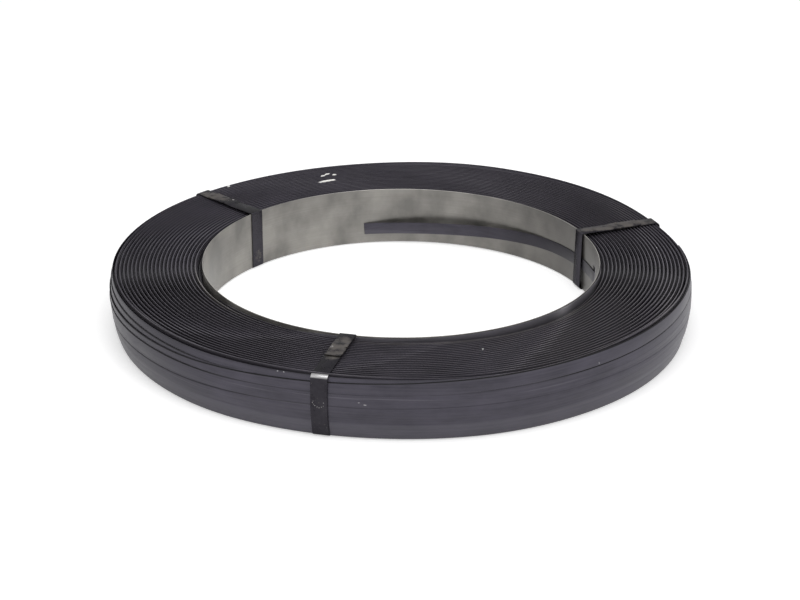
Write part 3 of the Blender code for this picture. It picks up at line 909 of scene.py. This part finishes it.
# %% Core ring
CORE_STEPS = 256
EDGE = 0.00025
inner, outer = BORE_RADIUS, BORE_RADIUS + CORE_SHEET
core_section = (
    (inner, CORE_LOW + EDGE), (inner + EDGE, CORE_LOW), (outer - EDGE, CORE_LOW),
    (outer, CORE_LOW + EDGE), (outer, CORE_TOP - EDGE), (outer - EDGE, CORE_TOP),
    (inner + EDGE, CORE_TOP), (inner, CORE_TOP - EDGE),
)
core_shape = bmesh.new()
ring = [core_shape.verts.new((radius, 0.0, height)) for radius, height in core_section]
edges = [core_shape.edges.new((ring[i - 1], ring[i])) for i in range(len(ring))]
bmesh.ops.spin(
    core_shape, geom=ring + edges, axis=(0, 0, 1), cent=(0, 0, 0), angle=2.0 * math.pi,
    steps=CORE_STEPS, use_merge=True)
bmesh.ops.remove_doubles(core_shape, verts=core_shape.verts, dist=0.00001)
core_hoop = placed(core_shape, "core_hoop", 0.0)
core_hoop.data.materials.append(sheet)

# %% The slot in the core
SLOT_LOW = TAIL_TOP - STRAP_WIDTH - 0.0026
SLOT_HIGH = TAIL_TOP + 0.0059
SLOT_ALONG = 0.0085
SLOT_CUT_DEPTH = 0.02
slot_shape = bmesh.new()
bmesh.ops.create_cube(slot_shape, size=1.0)
bmesh.ops.scale(
    slot_shape, vec=(SLOT_CUT_DEPTH, SLOT_ALONG, SLOT_HIGH - SLOT_LOW), verts=slot_shape.verts)
bmesh.ops.translate(
    slot_shape, vec=(inner, 0.0, (SLOT_LOW + SLOT_HIGH) / 2.0), verts=slot_shape.verts)
core_with_slot = cut_away(core_hoop, placed(slot_shape, "slot_cutter", TAIL_SLOT), "core_with_slot")

# %% [markdown]
# ## The bindings
#
# Each binding goes once round the section of the coil: down the bore, under, up the barrel
# and across the top, where its two ends lap and a tool has notched them together. The path
# starts under the lap and ends on top of it, and every corner is an arc.

# %% Rounded corners
ARC_POINTS = 7


def with_arcs(corners):
    """Points of an open line through (x, z, bend radius) corners, each bend an arc."""
    points = []
    for index, (x, z, bend) in enumerate(corners):
        corner = np.array((x, z))
        if index in (0, len(corners) - 1) or bend <= 0.0:
            points.append(corner)
            continue
        before = np.array(corners[index - 1][:2]) - corner
        after = np.array(corners[index + 1][:2]) - corner
        before /= np.linalg.norm(before)
        after /= np.linalg.norm(after)
        half = math.acos(max(-1.0, min(1.0, float(before @ after)))) / 2.0
        middle = (before + after) / np.linalg.norm(before + after)
        center = corner + middle * bend / math.sin(half)
        first = corner + before * bend / math.tan(half) - center
        last = corner + after * bend / math.tan(half) - center
        sweep = math.pi - 2.0 * half
        for step in range(ARC_POINTS):
            part = step / (ARC_POINTS - 1)
            spoke = (math.sin((1 - part) * sweep) * first + math.sin(part * sweep) * last)
            points.append(center + spoke / math.sin(sweep))
    return np.array(points)


# %% Binding paths
# Name, azimuths at the bore and at the rim, where the notch and the cut end lie from the bore
# to the rim, which edge the notch bends up, how far the strap stands off the bore's wall, and
# how far its foot there leans inwards. The right one goes over the inner end, so it stands off.
BINDINGS = (
    ("binding_strap_front", (255.7, 255.5), 0.34, 0.55, -1.0, 0.0004, 0.0),
    ("binding_strap_left", (140.5, 138.4), 0.50, 0.775, -1.0, 0.0004, 0.0),
    ("binding_strap_right", (20.7, 21.5), 0.49, 0.755, 1.0, 0.0012, 0.0018),
)
LAYER = BINDING_THICKNESS + 0.0001
LAP_BEFORE_NOTCH = 0.008
RAMP_BEFORE_NOTCH = 0.012
LOOSE_END = 0.006
END_LIFT = 0.0005
OFF_FLOOR = 0.0002
NOTCH_HALF = 0.0017
NOTCH_DEPTH = 0.0026
TAB_RISE = 0.0013
TAB_SHORT = 0.0006
half = BINDING_THICKNESS / 2.0
bore_wall = math.sqrt(BORE_RADIUS ** 2 - (BINDING_WIDTH / 2.0) ** 2)
rim = barrel_radius(RIDGE_TOP) + 0.0017
rim_top = RIDGE_TOP + 0.0004
bore_top = CORE_TOP + 0.0001
face = BARREL_RADIUS + 0.0008
foot = barrel_radius(CORE_LOW) + 0.0010


def top_run(radius, layers):
    """A point of the sloping run over the top, with layers of strap under it."""
    slope = (bore_top - rim_top) / (rim - bore_wall)
    return (radius, bore_top + half - slope * (radius - bore_wall) + layers * LAYER, 0.0)


def binding_line(notch, lap_end, inner_run, lean):
    """From under the lap out over the rim, down, under, up the bore and onto the lap.

    Each corner has its bend radius last, and the long bends of the face are its bulge.
    """
    return with_arcs((
        top_run(notch - LAP_BEFORE_NOTCH, 0),
        (rim + half, rim_top + half, 0.0035 + half),
        (face + half, BARREL_MIDDLE + 0.012, 0.060),
        (face + half, BARREL_MIDDLE - 0.012, 0.060),
        (foot + half, half + OFF_FLOOR, 0.0042),
        (inner_run - half - lean, half + OFF_FLOOR, 0.0022 + lean),
        (inner_run - half, bore_top + half, 0.0009),
        (*top_run(notch - RAMP_BEFORE_NOTCH, 0)[:2], 0.003),
        (*top_run(notch - LAP_BEFORE_NOTCH, 1)[:2], 0.003),
        (*top_run(lap_end - LOOSE_END, 1)[:2], 0.020),
        (lap_end, top_run(lap_end, 1)[1] + END_LIFT, 0.0),
    ))


# %% The notched lap
def edge_wedges(name, spot, root, tip, rise, low, high):
    """Two wedges, one at each edge of the strap, with their roots and tips so far off its middle.

    The spot says how far out they lie, at which azimuth and height, and which edge's tip rises.
    """
    out, azimuth, height, up_side = spot
    shape = bmesh.new()
    for side in (-1.0, 1.0):
        tip_height = height + (rise if side == up_side else -rise)
        corners = (
            (out - NOTCH_HALF, side * root, height), (out + NOTCH_HALF, side * root, height),
            (out, side * tip, tip_height))
        rings = [
            [shape.verts.new((x, y, z + level)) for x, y, z in corners] for level in (low, high)]
        for ring in rings:
            shape.faces.new(ring)
        for i in range(3):
            shape.faces.new((rings[0][i - 1], rings[0][i], rings[1][i], rings[1][i - 1]))
    return placed(shape, name, azimuth)


def notched(loop, spot, name):
    """The loop with its lap nicked by the tool, the nicked corners bent up and down as tabs."""
    edge = BINDING_WIDTH / 2.0
    cutter = edge_wedges(
        "notch_cutter", spot, edge + 0.0005, edge - NOTCH_DEPTH, 0.0, -0.004, 0.004)
    piece = cut_away(loop, cutter, name)
    tabs = edge_wedges(
        "tabs", spot, edge - NOTCH_DEPTH, edge - TAB_SHORT, TAB_RISE, -half, half + LAYER)
    joined = bmesh.new()
    joined.from_mesh(piece.data)
    joined.from_mesh(tabs.data)
    joined.to_mesh(piece.data)
    joined.free()
    bpy.data.objects.remove(tabs, do_unlink=True)
    return piece


# %% The three bindings
bindings = {}
for name, azimuths, notch_share, end_share, up_side, off_wall, lean in BINDINGS:
    inner_run = bore_wall - off_wall
    notch = inner_run + (rim - inner_run) * notch_share
    lap_end = inner_run + (rim - inner_run) * end_share
    line = binding_line(notch, lap_end, inner_run, lean)
    ahead = np.gradient(line, axis=0)
    ahead /= np.linalg.norm(ahead, axis=1)[:, None]
    outward = np.clip((line[:, 0] - inner_run) / (rim - inner_run), 0.0, 1.0)
    heading = np.radians(np.interp(outward, (0.0, 1.0), azimuths))
    east, north = np.cos(heading), np.sin(heading)
    places = np.stack([line[:, 0] * east, line[:, 0] * north, line[:, 1]], 1)
    facings = np.stack([-ahead[:, 1] * east, -ahead[:, 1] * north, ahead[:, 0]], 1)
    loop = made_by(
        strap_tree, name + "_loop",
        {"Width": BINDING_WIDTH, "Thickness": BINDING_THICKNESS, "Material": bound},
        path_mesh(name + "_path", places, facings))
    azimuth = math.radians(np.interp(notch_share, (0.0, 1.0), azimuths))
    spot = (notch, azimuth, top_run(notch, 0)[1], up_side)
    bindings[name] = notched(loop, spot, name + "_strap")


# %% [markdown]
# ## Not quite round
#
# The coil in the photograph isn't a perfect wheel: its bindings pull the rim in, it swells a
# little between them, and the last ridge stands higher on three stretches. Both were read from
# the outline, and every piece is moved by the same rule, so nothing drifts apart.

# %% Readings round the coil
# By angle in degrees: millimetres outwards at the rim, upwards for the last ridge, and how
# wide the gap beside the core is
SWELL = (
    (0, -0.5), (12, -2.9), (22, -3.8), (35, -0.8), (50, 1.4), (75, 2.9), (100, 0.6), (115, -0.6),
    (140, -0.7), (165, -0.5), (180, 0.0), (200, 0.3), (215, 0.9), (233, 2.4), (246, 0.8),
    (255, 0.6), (266, 0.4), (278, 1.8), (290, 3.0), (305, 2.2), (318, 2.0), (335, 0.8),
    (350, 0.0), (360, -0.5))
LAST_RIDGE_LIFT = (
    (0, 0.5), (20, -0.4), (35, 0.4), (50, 1.3), (75, 2.2), (100, 0.8), (120, 0.0), (165, 0.0),
    (185, 1.2), (205, 2.4), (233, 2.5), (250, 2.3), (262, 1.4), (270, 1.0), (277, 0.0), (286, -1.2),
    (295, -0.6), (309, 1.0), (321, 2.6), (340, 2.0), (360, 0.5))
GAP_REACH = (
    (0, 0.0), (28, 0.0), (45, 2.0), (140, 2.2), (172, 4.2), (204, 4.0), (218, 2.2), (230, 0.6),
    (238, 0.0), (360, 0.0))
GAP_DEPTH = 0.006
# How much of the ridges' relief is left, how strong the painted shade in the grooves is, how worn
# the crests next to the core are, how much painted light all crests take, and how strong the
# painted shade over the top is, from 0 to 1
RELIEF = (
    (0, 0.95), (14, 0.8), (28, 0.45), (45, 0.2), (65, 0.12), (120, 0.15), (140, 0.3), (160, 0.6),
    (186, 0.7), (194, 1.0), (360, 0.95))
GROOVE_SHADE = (
    (0, 0.75), (25, 0.6), (50, 0.4), (120, 0.3), (150, 0.5), (186, 0.6), (196, 1.0), (238, 0.95),
    (252, 0.6), (264, 0.4), (288, 0.4), (302, 0.8), (320, 0.95), (345, 0.9), (360, 0.75))
CREST_WEAR = (
    (0, 0.0), (180, 0.0), (190, 0.3), (206, 0.45), (218, 0.35), (228, 0.0), (258, 0.0),
    (268, 0.35), (300, 0.3), (318, 0.7), (328, 0.1), (360, 0.0))
PAINTED_CREST_LIGHT = (
    (0, 0.05), (150, 0.0), (195, 0.0), (205, 0.04), (285, 0.04), (303, 0.16), (340, 0.16),
    (360, 0.05))
TOP_PAINTED_SHADE = (
    (0, 0.15), (20, 0.4), (35, 0.65), (60, 0.55), (90, 0.42), (125, 0.35), (150, 0.2),
    (186, 0.35), (205, 0.5), (225, 0.2), (255, 0.0), (300, 0.0), (360, 0.15))
EASE = (-6.0, -3.0, 0.0, 3.0, 6.0)


def smoothly(angles, table):
    """The table's value at each angle, eased so that it has no corners."""
    knots, values = np.array(table).T
    return np.mean([np.interp((angles + shift) % 360.0, knots, values) for shift in EASE], axis=0)


# %% Swell between the bindings
def points_of(piece):
    """The places of a piece's points, with their radius and angle round the axis."""
    points = np.empty(len(piece.data.vertices) * 3)
    piece.data.vertices.foreach_get("co", points)
    points = points.reshape(-1, 3)
    radius = np.hypot(points[:, 0], points[:, 1])
    return points, radius, np.degrees(np.arctan2(points[:, 1], points[:, 0]))


def settle(piece):
    """Moves a piece's points outwards by the swell, more towards the rim."""
    points, radius, angles = points_of(piece)
    outward = np.clip((radius - WINDING_BORE) / (WINDING_RIM - WINDING_BORE), 0.0, 1.02) ** 2
    points[:, :2] *= (1.0 + smoothly(angles, SWELL) / 1000.0 * outward / radius)[:, None]
    piece.data.vertices.foreach_set("co", points.ravel())
    piece.data.update()


# %% [markdown]
# How deep a groove looks depends on the crests beside it. So the highest points are gathered in
# a table with a column for every few degrees and a ring for every millimetre from the core out,
# and each point of the top is measured against the crests about it.

# %% The crests about a point
TOP_FROM = 0.040
CREST_COLUMNS = 132
CREST_RINGS = 97
NEIGHBOURS = (-2, -1, 0, 1, 2)
MARGIN = NEIGHBOURS[-1]


def around(table, axis):
    """The table rolled to each of its neighbours along an axis, stacked."""
    return np.stack([np.roll(table, shift, axis=axis) for shift in NEIGHBOURS])


def crests_near(radius, angles, heights):
    """The height of the ridges' crests about each point: the highest within 2 mm, smoothed."""
    column = (angles % 360.0 * CREST_COLUMNS / 360.0).astype(int) % CREST_COLUMNS
    ring = np.clip((radius - WINDING_BORE) * 1000.0, 0.0, CREST_RINGS - 1.0).astype(int) + MARGIN
    highest = np.zeros((CREST_COLUMNS, CREST_RINGS + 2 * MARGIN))
    np.maximum.at(highest, (column, ring), heights)
    crests = around(highest, 1).max(axis=0)
    is_known = (crests > TOP_FROM).astype(float)
    total = around(crests * is_known, 0).sum(axis=0)
    count = around(is_known, 0).sum(axis=0)
    return (total / np.maximum(count, 1.0))[column, ring]


# %% Shape and looks of the top
LAST_RIDGE_FROM = 0.2895
LAST_RIDGE_EASE = 0.0015
UPPER_FROM = 0.045
UPPER_EASE = 0.008
CORE_CREST = WINDING_BORE + 0.0068
CORE_CREST_SPREAD = 0.0030
WORN_DOWN_TO = 0.0006
GAP_SUNK = 0.002


def finish_top(piece):
    """Shapes the ridges, and gives the looks of grooves and crests to the points."""
    points, radius, angles = points_of(piece)
    heights = points[:, 2]
    crests = crests_near(radius, angles, heights)
    on_top = heights > TOP_FROM
    relief = np.where(on_top, smoothly(angles, RELIEF), 1.0)
    sunk = np.where(on_top, (crests - heights) * relief, 0.0)
    heights = np.where(on_top, crests - sunk, heights)
    beside_core = on_top & (radius < WINDING_BORE + smoothly(angles, GAP_REACH) / 1000.0)
    heights -= np.where(beside_core, GAP_DEPTH, 0.0)
    on_ridge = np.clip((radius - LAST_RIDGE_FROM) / LAST_RIDGE_EASE, 0.0, 1.0)
    up_top = np.clip((heights - UPPER_FROM) / UPPER_EASE, 0.0, 1.0)
    heights += smoothly(angles, LAST_RIDGE_LIFT) / 1000.0 * on_ridge * up_top
    points[:, 2] = heights
    piece.data.vertices.foreach_set("co", points.ravel())
    near_core = np.exp(-((radius - CORE_CREST) / CORE_CREST_SPREAD) ** 2)
    # Wear on the crests next to the core, and painted light on crests all round
    worn = smoothly(angles, CREST_WEAR) * near_core + smoothly(angles, PAINTED_CREST_LIGHT)
    looks = {
        "sunk": np.where(beside_core, GAP_SUNK, sunk),
        "groove_shade": np.where(beside_core, 1.0, smoothly(angles, GROOVE_SHADE)),
        # Painted shade over the top, by angle round the coil
        "film": smoothly(angles, TOP_PAINTED_SHADE),
        "wear": worn * np.clip(1.0 - sunk / WORN_DOWN_TO, 0.0, 1.0) * ~beside_core,
    }
    for look, values in looks.items():
        piece.data.attributes.new(look, "FLOAT", "POINT").data.foreach_set("value", values)
    piece.data.update()


finish_top(winding_top)
for piece in (winding_top, winding_bottom, outer_turns, lower_turns, *bindings.values()):
    settle(piece)
lowest = points_of(winding_top)[0][:, 2].min()
print("the top's points stand from", round(lowest * 1000.0, 1), "mm up")

# %% [markdown]
# ## Who stands for what
#
# Every piece rides on the one body of the model, and the CAD node that it stands for is hidden.

# %% Ride and replace
for piece in (winding_top, winding_bottom, outer_turns, lower_turns, first_turn, inner_end):
    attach(piece, "root")
    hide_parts("strap_winding")
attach(core_with_slot, "root")
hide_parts("core_ring")
for name, piece in bindings.items():
    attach(piece, "root")
    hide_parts(name)


# %% [markdown]
# ## Floor and light
#
# The photograph is a studio picture on pure white. The floor takes its white from its own
# colour for the camera and for reflections, and still holds a soft shadow where the coil
# stands. Large soft lamps light the coil at a plain level.

# %% Floor
floor_mesh = bpy.data.meshes.new("floor")
floor_mesh.from_pydata([(-8, -8, 0), (8, -8, 0), (8, 8, 0), (-8, 8, 0)], [], [(0, 1, 2, 3)])
floor = linked("floor", floor_mesh)
paper = bpy.data.materials.new("white_paper_floor")
paper.use_nodes = True
tree = paper.node_tree
rays = add_node(tree, "ShaderNodeLightPath").outputs
known = {"camera": rays["Is Camera Ray"], "glossy": rays["Is Glossy Ray"]}
add_steps(tree, known, ("seen = MAXIMUM camera glossy", "glow = seen * 0.45"))
feed(tree.nodes["Principled BSDF"], {
    "Base Color": linear("#e6e6e6"), "Roughness": 0.9, "Specular IOR Level": 0.1,
    "Emission Color": (1.0, 1.0, 1.0, 1.0), "Emission Strength": known["glow"]})
floor_mesh.materials.append(paper)

# %% World
world = bpy.data.worlds.new("studio")
bpy.context.scene.world = world
world.use_nodes = True
tree = world.node_tree
rays = add_node(tree, "ShaderNodeLightPath").outputs
known = {
    "camera": rays["Is Camera Ray"], "through": rays["Is Transmission Ray"],
    "glossy": rays["Is Glossy Ray"]}
add_steps(tree, known, (
    "direct = MAXIMUM camera through", "seen = MAXIMUM direct glossy",
    "level = RANGE seen 0.0 1.0 0.40 1.0"))
feed(tree.nodes["Background"], {"Color": (1.0, 1.0, 1.0, 1.0), "Strength": known["level"]})

# %% Lamps
LAMPS = (
    ("key", (1.7, -1.4, 2.3), 2.0, 18.0),
    ("fill", (-2.1, -1.3, 1.9), 2.2, 10.0),
    ("overhead", (0.0, -0.4, 2.5), 1.6, 28.0),
)
AIM = Vector((0.0, 0.0, 0.03))
for name, spot, size, watts in LAMPS:
    lamp = bpy.data.lights.new(name, "AREA")
    lamp.size = size
    lamp.energy = watts
    holder = linked(name, lamp)
    holder.location = spot
    holder.rotation_euler = (AIM - Vector(spot)).to_track_quat("-Z", "Y").to_euler()
bpy.context.scene.view_settings.view_transform = "Standard"
